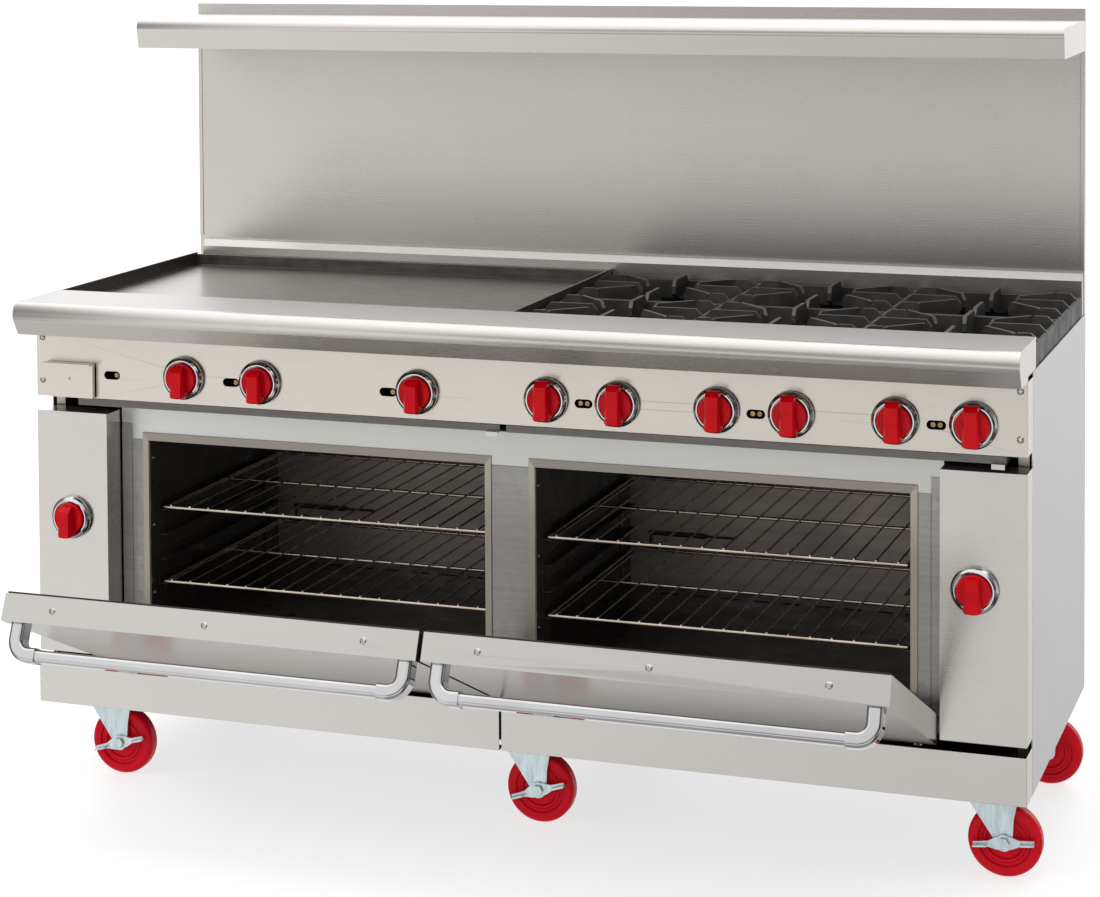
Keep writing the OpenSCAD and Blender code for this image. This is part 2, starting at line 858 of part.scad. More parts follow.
// chrome handle: a bar held between two cast elbows that run back to the door face
module door_handle() {
    bend_r = 26;
    half = door_w / 2 - 12 - elbow.x / 2;
    bar_y = bar_line.x;
    color(chrome)
        translate([0, 0, bar_line.y]) {
            translate([-half + bend_r, bar_y, 0])
                rotate([90, 0, 90])
                    linear_extrude(2 * (half - bend_r))
                        round_rect(bar.x, bar.y, handle_round);
            for (s = [0, 1])
                mirror([s, 0, 0])
                    translate([-half + bend_r, bar_y + bend_r, 0]) {
                        rotate([0, 0, 180])
                            rotate_extrude(angle = 90)
                                translate([bend_r, 0])
                                    round_rect(elbow.x, elbow.y, handle_round);
                        translate([-bend_r, 0, 0])
                            rotate([-90, 0, 0])
                                linear_extrude(door_y - bar_y - bend_r)
                                    round_rect(elbow.x, elbow.y, handle_round);
                        translate([0, -bend_r, 0])
                            rotate([90, 0, 90])
                                linear_extrude(16)
                                    round_rect(elbow.x, elbow.y, handle_round);
                    }
        }
}

// ---- racks and drawers ----

// a wire oven rack: frame rods, a middle rod and thin wires from front to back
module rack(i) {
    side = i < 2 ? -1 : 1;
    level = i % 2 == 0 ? 0 : 3;
    rod_r = 3;
    wire_r = 1.75;
    wire_pitch = 38.1;
    color(chrome)
        translate([side * oven_x, 0, guide_z[level] + rod_r + 0.3]) {
            for (y = [rack_y[0], 368, rack_y[1]])
                translate([0, y, 0])
                    rod_x(rod_r, [-rack_half, rack_half]);
            for (s = [-1, 1])
                translate([s * rack_half, 0, 0])
                    rod_y(rod_r, [rack_y[0], rack_y[1]]);
            for (s = [-1, 1], y = rack_y)
                translate([s * rack_half, y, 0])
                    sphere(rod_r);
            for (k = [-8:8])
                translate([k * wire_pitch, 0, 3.4])
                    rod_y(wire_r, [rack_y[0] - 2, rack_y[1] + 2]);
        }
}

// grease drawer: deep tray behind a folded front with a finger lip
module grease_drawer() {
    front = [drawer_x[0] - 2.5, drawer_x[1] + 2.5];
    high = drawer_z[1] + 7;
    color(steel)
        difference() {
            union() {
                block(drawer_x, [-4, 320], drawer_z);
                block(front, [-12, -3], [panel_low + 1.5, high]);
                block([front[0] - 9, front[1]], [-25, -3], [high - 1, high + sheet]);
            }
            block([drawer_x[0] + 1.5, drawer_x[1] - 1.5], [-2.5, 318.5], [drawer_z[0] + 1.5, drawer_z[1] + 1]);
            translate([-839, 0, drawer_z[0] + 33])
                rod_y(3, [-13, -9.5]);
        }
}

// a shallow crumb tray between two limits on X, with a bent pull tab
module crumb_tray(x, tab_x) {
    y = [12, 560];
    tray_h = 13;
    wall = 1.5;
    color(steel) {
        difference() {
            block(x, y, [tray_z, tray_z + tray_h]);
            block([x[0] + wall, x[1] - wall], [y[0] + wall, y[1] - wall], [tray_z + wall, tray_z + tray_h + 1]);
        }
        block([tab_x - 11, tab_x + 11], [y[0] - 11, y[0] + 1], [tray_z, tray_z + wall]);
        block([tab_x - 11, tab_x + 11], [y[0] - 11, y[0] - 9.5], [tray_z - 7, tray_z + wall]);
    }
}

// ---- casters ----

// mounting plates with swivel housings and kingpins, one under each corner and middle
module caster_plates() {
    color(zinc)
        for (p = caster_xy)
            translate([p.x, p.y, 0]) {
                block([-50, 50], [-42, 42], [frame_low - 5, frame_low]);
                translate([0, 0, crown_z + 5.5])
                    cylinder(r = 30, h = frame_low - 5 - crown_z - 5.5 + 1);
                translate([0, 0, crown_z - 3])
                    cylinder(r = 8, h = 12);
                translate([0, 0, crown_z - 3.5])
                    cylinder(r = 11, h = 3);
            }
}

// swivel fork i: crown, two tapered legs and the axle with its nuts
module caster_fork(i) {
    leg_y = [wheel_w / 2 + 2, wheel_w / 2 + 6];
    color(zinc)
        translate([caster_xy[i].x, caster_xy[i].y, 0]) {
            difference() {
                block([-38, 46], [-leg_y[1], leg_y[1]], [crown_z, crown_z + 5]);
                translate([0, 0, crown_z - 1])
                    cylinder(r = 8.06, h = 7);
            }
            for (s = [0, 1])
                mirror([0, s, 0])
                    sweep_y(leg_y) {
                        polygon([[-38, crown_z + 3], [46, crown_z + 3], [trail + 16, 100], [trail + 14, wheel_r],
                                 [trail - 14, wheel_r]]);
                        translate([trail, wheel_r])
                            circle(14);
                    }
            translate([trail, 0, wheel_r]) {
                rod_y(axle_r, [-leg_y[1] - 11, leg_y[1] + 7]);
                for (y = [[-leg_y[1] - 11, -leg_y[1] - 5.5], [leg_y[1], leg_y[1] + 5.5]])
                    translate([0, y[0], 0])
                        rotate([-90, 0, 0])
                            cylinder(r = 10, h = y[1] - y[0], $fn = 6);
            }
        }
}

// caster wheel i: ridged discs, rounded tread and a hub with its bore
module caster_wheel(i) {
    w = wheel_w / 2;
    r = wheel_r;
    bore_r = axle_r + 0.06;
    color(red)
        translate([caster_xy[i].x + trail, caster_xy[i].y, wheel_r])
            rotate([90, 0, 0])
                rotate_extrude()
                    union() {
                        polygon([
                            [bore_r, -w - 1.5], [17, -w - 1.5], [19, -w + 4], [30, -w + 5], [32, -w + 2], [36, -w + 2],
                            [38, -w + 4.5], [43, -w + 4.5], [45, -w + 1], [r - 9, -w], [r - 3, -w + 3],
                            [r - 3, w - 3], [r - 9, w], [45, w - 1], [43, w - 4.5], [38, w - 4.5], [36, w - 2],
                            [32, w - 2], [30, w - 5], [19, w - 4], [17, w + 1.5], [bore_r, w + 1.5]
                        ]);
                        for (s = [-1, 1])
                            translate([r - 9, s * (w - 9)])
                                circle(9);
                        translate([r - 9, -w + 9])
                            square([9, 2 * w - 18]);
                    }
}

// foot brake i: a two-winged pedal that rocks on the axle outside the front leg
module caster_brake(i) {
    y = [-wheel_w / 2 - 11, -wheel_w / 2 - 6.5];
    wing = 51;
    color(zinc)
        translate([caster_xy[i].x + trail, caster_xy[i].y, wheel_r])
            rotate([0, lever_tilt[i], 0])
                difference() {
                    union() {
                        rod_y(14, y);
                        for (s = [0, 1])
                            mirror([s, 0, 0]) {
                                sweep_y(y)
                                    polygon([[0, 13], [15, 9], [26, 4], [wing, 3], [wing, -4], [26, -6],
                                             [15, -10], [0, -13]]);
                                block([28, wing], [y[0] - 9, y[1]], [-4, -1]);
                            }
                    }
                    rod_y(axle_r + 0.06, [y[0] - 1, y[1] + 1]);
                }
}

// ---- one line per node ----

// moves a part from the middle of the front faces to the origin of the range
module placed() {
    translate([-middle.x, -middle.y, 0])
        children();
}

placed() base_frame();
placed() caster_plates();
placed() outer_panels();
placed() control_columns();
placed() front_frame();
placed() oven_liners();
placed() rack_guides();
placed() thermostat_bulbs();
placed() kick_plates();
placed() control_panel();
placed() landing_ledge();
placed() griddle();
placed() burner_box();
placed() burners();
placed() top_grates();
placed() gas_manifold();
placed() gas_valves();
placed() knob_bezels();
placed() back_guard();
placed() high_shelf();
placed() panel_screws();
placed() grease_drawer();
placed() crumb_tray([-835, -3], -15);  // crumb_tray_left
placed() crumb_tray([9, 878], 866);  // crumb_tray_right
placed() at_door(-1) door_panel();  // door_left_panel
placed() at_door(-1) door_gasket();  // door_left_gasket
placed() at_door(-1) door_handle();  // door_left_handle
placed() at_door(1) door_panel();  // door_right_panel
placed() at_door(1) door_gasket();  // door_right_gasket
placed() at_door(1) door_handle();  // door_right_handle
for (i = [0:3])
    placed() rack(i);
for (i = [0:5]) {
    placed() caster_fork(i);
    placed() caster_wheel(i);
}
for (i = [0:2])
    placed() caster_brake(i);
for (i = [0:8])
    placed()
        translate([top_knob_x[i], 0, knob_z])
            knob(i < 3 ? 24 : 36);
for (i = [0, 1])
    placed()
        translate([dial_x[i], 0, dial_z])
            knob(24);
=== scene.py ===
"""Looks for a six burner gas range with griddle: a finish for every part, softened edges,
a pale floor, soft studio light and the camera. Metres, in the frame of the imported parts."""

import math

import bpy
from mathutils import Matrix, Vector


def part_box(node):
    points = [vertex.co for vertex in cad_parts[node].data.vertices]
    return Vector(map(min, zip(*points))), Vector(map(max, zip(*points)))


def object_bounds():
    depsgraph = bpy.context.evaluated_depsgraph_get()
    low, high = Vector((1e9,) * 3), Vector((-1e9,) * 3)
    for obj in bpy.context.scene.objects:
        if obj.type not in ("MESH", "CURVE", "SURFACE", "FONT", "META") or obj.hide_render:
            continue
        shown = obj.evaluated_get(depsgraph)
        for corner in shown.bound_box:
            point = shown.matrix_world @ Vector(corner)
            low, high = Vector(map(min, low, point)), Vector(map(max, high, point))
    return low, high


# the room seen in reflections: how bright each wall is, by the height of the direction
ROOM_LEFT = (
    (-1, 0.38), (-0.5, 0.56), (-0.2, 0.69), (-0.1, 0.62),
    (0.0, 0.37), (0.15, 0.52), (0.45, 0.66), (1, 1.0),
)
ROOM_RIGHT = (
    (-1, 0.22), (-0.5, 0.22), (-0.24, 0.68), (-0.1, 0.68),
    (0.0, 0.13), (0.15, 0.17), (0.5, 0.56), (1, 0.9),
)
ROOM_BACK = ((-1, 0.35), (-0.3, 0.52), (-0.1, 0.66), (0.05, 0.8), (0.3, 0.95), (1, 1.0))
# dark screens at the far left and right, which give the chrome its dark lines
ROOM_SCREENS = ((-1, 0.25), (-0.82, 0.25), (-0.66, 1), (0.5, 1), (0.66, 0.2), (0.86, 0.2), (1, 0.7))
ROOM_STRENGTH = 1.75
# part of the direction, sideways and backwards, over which one wall gives way to the next
ROOM_TURN = (-0.42, -0.18)
ROOM_BEHIND = (-0.1, 0.3)
# rounding of the folded or cast edges, in metres
SOFT_EDGES = {
    "control_panel": 0.0007, "control_columns": 0.0009, "kick_plates": 0.0008, "front_frame": 0.0006,
    "door_left_panel": 0.0009, "door_right_panel": 0.0009, "grease_drawer": 0.0006, "back_guard": 0.0007,
    "high_shelf": 0.0007, "landing_ledge": 0.0007, "top_grates": 0.0011, "griddle": 0.0008,
}
# corners closer than this are welded before rounding; folds sharper than this are rounded
WELD_GAP = 0.00002
FOLD_ANGLE = math.radians(35)
# a face counts as level, or as facing along an axis, from this much of its normal
LEVEL = 0.98
FACING = 0.9
# allowances for faces that lie on, or close to, the edge of the oven liners
HAIR = 0.001
CLOSE = 0.01
# how far the trim round the oven mouths stands in front of the liners
TRIM_DEPTH = 0.005
# middle of the width, and how far out the corner posts start
MIDDLE_X = -0.00775
POST_X = 0.885
# how far the pull tabs of the crumb trays reach out in front of them
TAB_REACH = 0.0105
# how deep the griddle walls reach below their rim
WALL_DEPTH = 0.03
# the grain of brushed metal runs along one of these; a little off the axis, so that it crosses every face
GRAIN = {"X": (1, 0.03, 0.05), "Z": (0.03, 0.05, 1)}
# mirror reflection of the red plastics
PLASTIC_SHINE = 0.12
# where the camera stands, how it is turned (radians to the left, down and round), its lens and lens shift
CAMERA_HOME = (1.5570, -4.7133, 1.634)
CAMERA_YAW, CAMERA_PITCH, CAMERA_ROLL = 0.3675, 0.0433, -0.0077
LENS = 90.0
LENS_SHIFT = (0.1364, -0.3847)


class Finish:
    """A Principled material built up one effect at a time from procedural nodes."""

    def __init__(self, name, metallic, roughness):
        self.material = bpy.data.materials.new(name)
        self.material.use_nodes = True
        self.tree = self.material.node_tree
        self.shader = self.tree.nodes["Principled BSDF"]
        self.shader.inputs["Metallic"].default_value = metallic
        self.shader.inputs["Roughness"].default_value = roughness
        self.place = self.node("ShaderNodeTexCoord").outputs["Object"]
        self.normal = None

    def node(self, kind):
        return self.tree.nodes.new(kind)

    def link(self, source, target):
        self.tree.links.new(source, target)

    def scaled(self, scale, offset=(0, 0, 0)):
        """Position in the frame, stretched by scale and moved by offset."""
        mapping = self.node("ShaderNodeMapping")
        mapping.inputs["Scale"].default_value = scale
        mapping.inputs["Location"].default_value = offset
        self.link(self.place, mapping.inputs["Vector"])
        return mapping.outputs["Vector"]

    def noise(self, scale, detail=3.0, offset=(0, 0, 0)):
        """Cloudy noise, scale features to the metre on each axis."""
        if not isinstance(scale, tuple):
            scale = (scale, scale, scale)
        texture = self.node("ShaderNodeTexNoise")
        texture.inputs["Scale"].default_value = 1.0
        texture.inputs["Detail"].default_value = detail
        self.link(self.scaled(scale, offset), texture.inputs["Vector"])
        return texture.outputs["Fac"]

    def cells(self, scale):
        """Flat-sided cells with a random shade each."""
        texture = self.node("ShaderNodeTexVoronoi")
        texture.inputs["Scale"].default_value = scale
        self.link(self.place, texture.inputs["Vector"])
        return texture.outputs["Color"]

    def spread(self, value, low, high, start=0.3, end=0.7):
        """Maps value from start..end to low..high."""
        ramp = self.node("ShaderNodeMapRange")
        for name, number in zip(("From Min", "From Max", "To Min", "To Max"), (start, end, low, high)):
            ramp.inputs[name].default_value = number
        self.link(value, ramp.inputs["Value"])
        return ramp.outputs["Result"]

    def colour(self, value, dark, light, start=0.3, end=0.7):
        """Colours the surface between dark and light as value runs from start to end."""
        mix = self.node("ShaderNodeMix")
        mix.data_type = "RGBA"
        mix.inputs["A"].default_value = (*dark, 1)
        mix.inputs["B"].default_value = (*light, 1)
        self.link(self.spread(value, 0, 1, start, end), mix.inputs["Factor"])
        self.link(mix.outputs["Result"], self.shader.inputs["Base Color"])
        return mix.outputs["Result"]

    def roughness(self, value, low, high):
        self.link(self.spread(value, low, high), self.shader.inputs["Roughness"])

    def bump(self, height, strength, distance):
        """Adds relief on top of any relief the finish already has."""
        bump = self.node("ShaderNodeBump")
        bump.inputs["Strength"].default_value = strength
        bump.inputs["Distance"].default_value = distance
        self.link(height, bump.inputs["Height"])
        if self.normal:
            self.link(self.normal, bump.inputs["Normal"])
        self.normal = bump.outputs["Normal"]
        self.link(self.normal, self.shader.inputs["Normal"])

    def brushed(self, grain, amount):
        """Smears reflections across the direction of the grain, as fine polishing lines do."""
        geometry = self.node("ShaderNodeNewGeometry")
        cross = self.node("ShaderNodeVectorMath")
        cross.operation = "CROSS_PRODUCT"
        cross.inputs[1].default_value = GRAIN[grain]
        self.link(geometry.outputs["Normal"], cross.inputs[0])
        self.link(cross.outputs["Vector"], self.shader.inputs["Tangent"])
        self.shader.inputs["Anisotropic"].default_value = amount

    def add(self, a, b, share=0.5):
        """Blends two values."""
        mix = self.node("ShaderNodeMix")
        mix.inputs["Factor"].default_value = share
        self.link(a, mix.inputs["A"])
        self.link(b, mix.inputs["B"])
        return mix.outputs["Result"]

    def facing(self):
        """How much the surface looks up, from 0 to 1."""
        geometry = self.node("ShaderNodeNewGeometry")
        split = self.node("ShaderNodeSeparateXYZ")
        self.link(geometry.outputs["Normal"], split.inputs["Vector"])
        return split.outputs["Z"]


def along(grain, long, fine):
    """Noise scale that is stretched along one axis."""
    return tuple(long if axis == grain else fine for axis in "XYZ")


def around(shade, part):
    """A darker and a lighter shade, each that part away from shade."""
    return tuple(tuple(factor * level for level in shade) for factor in (1 - part, 1 + part))


# ---- finishes ----


def brushed_sheet(name, grain, shade=(0.62, 0.592, 0.562), rough=0.26):
    """Stainless sheet with a number 4 grain: fine lines, long faint streaks and handling marks."""
    finish = Finish(name, metallic=1.0, roughness=rough)
    lines = finish.noise(along(grain, long=3, fine=900), detail=2)
    streaks = finish.noise(along(grain, long=1.1, fine=90), detail=3, offset=(3, 1, 7))
    marks = finish.noise(9, detail=4, offset=(1, 8, 5))
    dark, light = around(shade, 0.01)
    finish.colour(finish.add(lines, streaks), dark, light, start=0.35, end=0.65)
    finish.roughness(finish.add(lines, marks, share=0.6), low=rough, high=rough + 0.02)
    finish.brushed(grain, amount=0.6)
    finish.bump(lines, strength=0.006, distance=0.0001)
    return finish.material


def coated_frame(name="aluminised_steel", shade=(0.36, 0.355, 0.345), rough=0.4):
    """Satin aluminised steel: faint spangle and rolling marks."""
    finish = Finish(name, metallic=1.0, roughness=rough)
    spangle = finish.cells(110)
    cloud = finish.noise(7, detail=4)
    lines = finish.noise((4, 260, 260), detail=3, offset=(2, 5, 1))
    dark, light = around(shade, 0.12)
    finish.colour(finish.add(finish.add(spangle, cloud), lines), dark, light, start=0.35, end=0.65)
    finish.roughness(finish.add(cloud, spangle), low=rough - 0.08, high=rough + 0.08)
    finish.bump(lines, strength=0.06, distance=0.0003)
    return finish.material


def oven_enamel():
    """Black enamel with orange peel and a little baked-on haze."""
    finish = Finish("oven_enamel", metallic=0.0, roughness=0.3)
    haze = finish.noise(14, detail=6)
    peel = finish.noise(260, detail=2)
    finish.colour(haze, (0.008, 0.006, 0.005), (0.026, 0.021, 0.017))
    finish.roughness(haze, low=0.22, high=0.45)
    finish.bump(peel, strength=0.12, distance=0.0006)
    return finish.material


def oven_back():
    """Plain coated steel at the back of the oven, tinted unevenly by the heat."""
    finish = Finish("oven_back_steel", metallic=0.85, roughness=0.42)
    haze = finish.noise(5, detail=5)
    streaks = finish.noise((2, 2, 60), detail=3)
    finish.colour(finish.add(haze, streaks), (0.30, 0.27, 0.25), (0.46, 0.42, 0.39))
    finish.roughness(haze, low=0.34, high=0.55)
    finish.bump(streaks, strength=0.06, distance=0.0005)
    return finish.material


def cast_iron():
    """Sand cast iron with black seasoning, worn a little lighter on top."""
    finish = Finish("cast_iron", metallic=0.3, roughness=0.5)
    sand = finish.noise(700, detail=3)
    patch = finish.noise(24, detail=4, offset=(4, 4, 1))
    worn = finish.add(finish.add(sand, patch), finish.facing(), share=0.3)
    finish.colour(worn, (0.03, 0.028, 0.026), (0.13, 0.122, 0.114), start=0.3, end=0.8)
    finish.roughness(patch, low=0.42, high=0.64)
    finish.bump(sand, strength=0.35, distance=0.0006)
    finish.bump(patch, strength=0.1, distance=0.002)
    return finish.material


def griddle_plate():
    """Ground and polished plate with fine machining lines and faint heat bloom."""
    finish = Finish("polished_plate", metallic=1.0, roughness=0.26)
    lines = finish.noise((8, 700, 700), detail=3)
    bloom = finish.noise(3, detail=3, offset=(6, 2, 3))
    dark, light = (0.35, 0.33, 0.31), (0.43, 0.41, 0.39)
    finish.colour(finish.add(lines, bloom, share=0.6), dark, light, start=0.35, end=0.65)
    finish.roughness(finish.add(lines, bloom), low=0.22, high=0.34)
    finish.brushed("X", amount=0.4)
    finish.bump(lines, strength=0.04, distance=0.0001)
    return finish.material


def splash_steel():
    """Dark hot rolled steel of the griddle walls."""
    finish = Finish("hot_rolled_steel", metallic=0.9, roughness=0.4)
    scale = finish.noise(40, detail=5)
    streaks = finish.noise((6, 6, 90), detail=3)
    finish.colour(finish.add(scale, streaks), (0.07, 0.066, 0.06), (0.15, 0.14, 0.13))
    finish.roughness(scale, low=0.3, high=0.52)
    finish.bump(scale, strength=0.08, distance=0.0008)
    return finish.material


def chrome():
    """Bright plating with light wipe marks."""
    finish = Finish("chrome_plate", metallic=1.0, roughness=0.07)
    wipe = finish.noise((30, 30, 6), detail=4)
    cloud = finish.noise(9, detail=3)
    finish.colour(cloud, (0.53, 0.53, 0.53), (0.60, 0.60, 0.60))
    finish.roughness(wipe, low=0.02, high=0.07)
    finish.bump(wipe, strength=0.015, distance=0.0006)
    return finish.material


def rack_wire():
    """Plated wire, tinted bronze by baking."""
    finish = Finish("baked_wire", metallic=1.0, roughness=0.25)
    tint = finish.noise(14, detail=4)
    fine = finish.noise(300, detail=2, offset=(2, 6, 4))
    finish.colour(tint, (0.50, 0.42, 0.33), (0.80, 0.72, 0.62))
    finish.roughness(tint, low=0.18, high=0.34)
    finish.bump(fine, strength=0.05, distance=0.0003)
    return finish.material


def zinc_plate():
    """Bright zinc with a cool passivated tint and pressing marks."""
    finish = Finish("zinc_plate", metallic=0.9, roughness=0.3)
    cloud = finish.noise(45, detail=4)
    marks = finish.noise((160, 160, 30), detail=3)
    finish.colour(finish.add(cloud, marks), (0.38, 0.46, 0.48), (0.74, 0.83, 0.85))
    finish.roughness(cloud, low=0.2, high=0.42)
    finish.bump(cloud, strength=0.08, distance=0.001)
    return finish.material


def red_knob():
    """Glossy moulded red plastic, slightly uneven under a clear skin."""
    finish = Finish("red_phenolic", metallic=0.0, roughness=0.25)
    flow = finish.noise(35, detail=3)
    scuff = finish.noise(220, detail=4)
    finish.colour(flow, (0.40, 0.0005, 0.004), (0.48, 0.001, 0.006))
    finish.roughness(scuff, low=0.16, high=0.28)
    finish.bump(flow, strength=0.05, distance=0.001)
    finish.shader.inputs["Specular IOR Level"].default_value = PLASTIC_SHINE
    return finish.material


def red_wheel():
    """Red polyurethane, a little chalky, with dust worn into the rolling face."""
    finish = Finish("red_polyurethane", metallic=0.0, roughness=0.35)
    chalk = finish.noise(50, detail=4)
    fine = finish.noise(420, detail=3)
    finish.colour(finish.add(chalk, fine), (0.44, 0.0008, 0.008), (0.55, 0.002, 0.012))
    finish.roughness(chalk, low=0.26, high=0.46)
    finish.bump(fine, strength=0.08, distance=0.0004)
    finish.shader.inputs["Specular IOR Level"].default_value = PLASTIC_SHINE
    return finish.material


def woven_seal():
    """Black braided seal."""
    finish = Finish("braided_seal", metallic=0.0, roughness=0.75)
    wave = finish.node("ShaderNodeTexWave")
    wave.inputs["Scale"].default_value = 120
    wave.bands_direction = "DIAGONAL"
    finish.link(finish.place, wave.inputs["Vector"])
    dust = finish.noise(60, detail=4)
    finish.colour(dust, (0.006, 0.006, 0.006), (0.03, 0.029, 0.028))
    finish.roughness(dust, low=0.6, high=0.85)
    finish.bump(wave.outputs["Fac"], strength=0.4, distance=0.001)
    return finish.material


def brass():
    """Turned brass, dulled by heat."""
    finish = Finish("turned_brass", metallic=1.0, roughness=0.3)
    dull = finish.noise(80, detail=4)
    finish.colour(dull, (0.20, 0.12, 0.05), (0.55, 0.38, 0.17))
    finish.roughness(dull, low=0.2, high=0.42)
    finish.bump(dull, strength=0.05, distance=0.0005)
    return finish.material


def black_steel():
    """Painted tube and pipe, thinly coated, with dust on the upper faces."""
    finish = Finish("black_painted_steel", metallic=0.0, roughness=0.5)
    coat = finish.noise(30, detail=5)
    peel = finish.noise(300, detail=2)
    finish.colour(finish.add(coat, finish.facing()), (0.012, 0.012, 0.012), (0.05, 0.048, 0.046))
    finish.roughness(coat, low=0.4, high=0.65)
    finish.bump(peel, strength=0.1, distance=0.0005)
    return finish.material


def pale_floor():
    """Plain white floor, lit from within so that shadows on it stay light."""
    finish = Finish("pale_floor", metallic=0.0, roughness=0.6)
    cloud = finish.noise(0.7, detail=3)
    finish.colour(cloud, (0.30, 0.30, 0.30), (0.32, 0.32, 0.32))
    finish.roughness(cloud, low=0.55, high=0.7)
    finish.bump(cloud, strength=0.02, distance=0.01)
    finish.shader.inputs["Emission Color"].default_value = (1, 1, 1, 1)
    finish.shader.inputs["Emission Strength"].default_value = 0.7
    return finish.material


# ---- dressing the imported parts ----


def soften(node, width):
    """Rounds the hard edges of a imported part, as folding and casting do."""
    weld = node.modifiers.new("weld", "WELD")
    weld.merge_threshold = WELD_GAP
    bevel = node.modifiers.new("soft_edges", "BEVEL")
    bevel.width = width
    bevel.segments = 2
    bevel.limit_method = "ANGLE"
    bevel.angle_limit = FOLD_ANGLE
    bevel.harden_normals = True


def dress(nodes, name, material):
    """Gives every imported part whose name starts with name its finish."""
    for node_name, node in nodes.items():
        if node_name.startswith(name):
            node.data.materials.clear()
            node.data.materials.append(material)


def second_finish(node, material, wanted):
    """Gives some faces of a part a finish of their own: those for which wanted(c, n) is true,
    where c is the middle of the face and n its normal."""
    node.data.materials.append(material)
    index = len(node.data.materials) - 1
    for face in node.data.polygons:
        if wanted(face.center, face.normal):
            face.material_index = index


def dress_all(nodes):
    """Gives every part its main finish. Each name stands for all parts whose names start with it."""
    finishes = (
        (brushed_sheet("brushed_front", "X"),
         ("control_columns", "kick_plates", "landing_ledge", "back_guard", "high_shelf")),
        (brushed_sheet("brushed_panel", "X", shade=(0.66, 0.618, 0.56)),
         ("control_panel", "grease_drawer")),
        (brushed_sheet("brushed_side", "Z", shade=(0.60, 0.595, 0.595), rough=0.3), ("outer_panels",)),
        (brushed_sheet("brushed_door", "X", shade=(0.54, 0.525, 0.50), rough=0.22),
         ("door_left_panel", "door_right_panel")),
        (coated_frame(), ("front_frame",)),
        # the crumb trays: the aluminised steel coloured far darker, as painted shade for their place
        # under the control panel
        (coated_frame("painted_shade_tray_steel", shade=(0.17, 0.16, 0.15)), ("crumb_tray",)),
        (coated_frame("screw_steel", shade=(0.6, 0.59, 0.57), rough=0.25), ("panel_screws",)),
        (oven_enamel(), ("oven_liners", "rack_guides")),
        (griddle_plate(), ("griddle",)),
        (cast_iron(), ("top_grates", "burners")),
        (black_steel(), ("base_frame", "burner_box", "gas_manifold", "thermostat_bulbs")),
        (chrome(), ("door_left_handle", "door_right_handle", "knob_bezels")),
        (rack_wire(), ("rack_left", "rack_right")),
        (zinc_plate(), ("caster_plates", "caster_fork", "caster_brake")),
        (red_knob(), ("knob_griddle", "knob_burner", "knob_oven")),
        (red_wheel(), ("caster_wheel",)),
        (woven_seal(), ("door_left_gasket", "door_right_gasket")),
        (brass(), ("gas_valves",)),
    )
    for material, names in finishes:
        for name in names:
            dress(nodes, name, material)


def dress_details(nodes):
    """Finishes that cover only some faces of a part."""
    # painted light: the tops of the ledge and shelf get shades of their own, darker on the ledge top and
    # lighter on the shelf top than their fronts, for how the light falls on them
    for name, shade in (("landing_ledge", (0.55, 0.54, 0.53)), ("high_shelf", (0.66, 0.645, 0.625))):
        top = brushed_sheet(name + "_top", "X", shade, rough=0.45)
        second_finish(nodes[name], top, lambda c, n: n.z > LEVEL)
    liner_low, liner_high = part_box("oven_liners")
    second_finish(nodes["oven_liners"], oven_back(),
                  lambda c, n: c.y > liner_high.y - CLOSE and n.y < -FACING)
    griddle_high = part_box("griddle")[1]
    second_finish(nodes["griddle"], splash_steel(),
                  lambda c, n: c.z > griddle_high.z - WALL_DEPTH and n.z < FACING)
    trim_y = liner_low.y - TRIM_DEPTH
    # painted shade: the polished trim round the oven mouths is coloured far darker than the steel sheets,
    # and its top piece darker than its sides
    trim = brushed_sheet("polished_trim", "Z", (0.36, 0.33, 0.29), rough=0.3)
    second_finish(nodes["front_frame"], trim,
                  lambda c, n: c.y < trim_y and c.z > liner_low.z - CLOSE)
    lintel_trim = brushed_sheet("lintel_trim", "X", (0.30, 0.27, 0.235), rough=0.3)
    second_finish(nodes["front_frame"], lintel_trim,
                  lambda c, n: c.y < trim_y and c.z > liner_high.z - HAIR)
    lintel = brushed_sheet("lintel_sheet", "X", (0.65, 0.65, 0.62), rough=0.36)
    second_finish(nodes["front_frame"], lintel,
                  lambda c, n: c.z > liner_high.z - HAIR and c.y > trim_y)
    post = brushed_sheet("bare_post", "Z", (0.50, 0.475, 0.43), rough=0.35)
    second_finish(nodes["base_frame"], post,
                  lambda c, n: abs(c.x - MIDDLE_X) > POST_X and n.y < -FACING and c.z > liner_low.z)
    for name in ("crumb_tray_left", "crumb_tray_right"):
        tab_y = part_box(name)[0].y + TAB_REACH
        second_finish(nodes[name], brushed_sheet(name + "_tab", "X"), lambda c, n: c.y < tab_y)


# ---- floor, light and camera ----


def make_floor():
    """A level sheet much larger than the view, which reflections do not show."""
    mesh = bpy.data.meshes.new("floor")
    reach = 60
    corners = [(x, y, 0) for x, y in ((-reach, -reach), (reach, -reach), (reach, reach), (-reach, reach))]
    mesh.from_pydata(corners, [], [(0, 1, 2, 3)])
    floor = bpy.data.objects.new("floor", mesh)
    bpy.context.scene.collection.objects.link(floor)
    mesh.materials.append(pale_floor())
    floor.visible_glossy = False


def ramp(tree, value, stops):
    """Turns value, from -1 to 1, into a grey level that passes smoothly through the stops."""
    spread = tree.nodes.new("ShaderNodeMapRange")
    spread.inputs["From Min"].default_value = -1
    colours = tree.nodes.new("ShaderNodeValToRGB")
    colours.color_ramp.interpolation = "EASE"
    elements = colours.color_ramp.elements
    while len(elements) < len(stops):
        elements.new(0.5)
    for element, (place, level) in zip(elements, stops):
        element.position = (place + 1) / 2
        element.color = (level, level, level, 1)
    tree.links.new(value, spread.inputs["Value"])
    tree.links.new(spread.outputs["Result"], colours.inputs["Fac"])
    return colours.outputs["Color"]


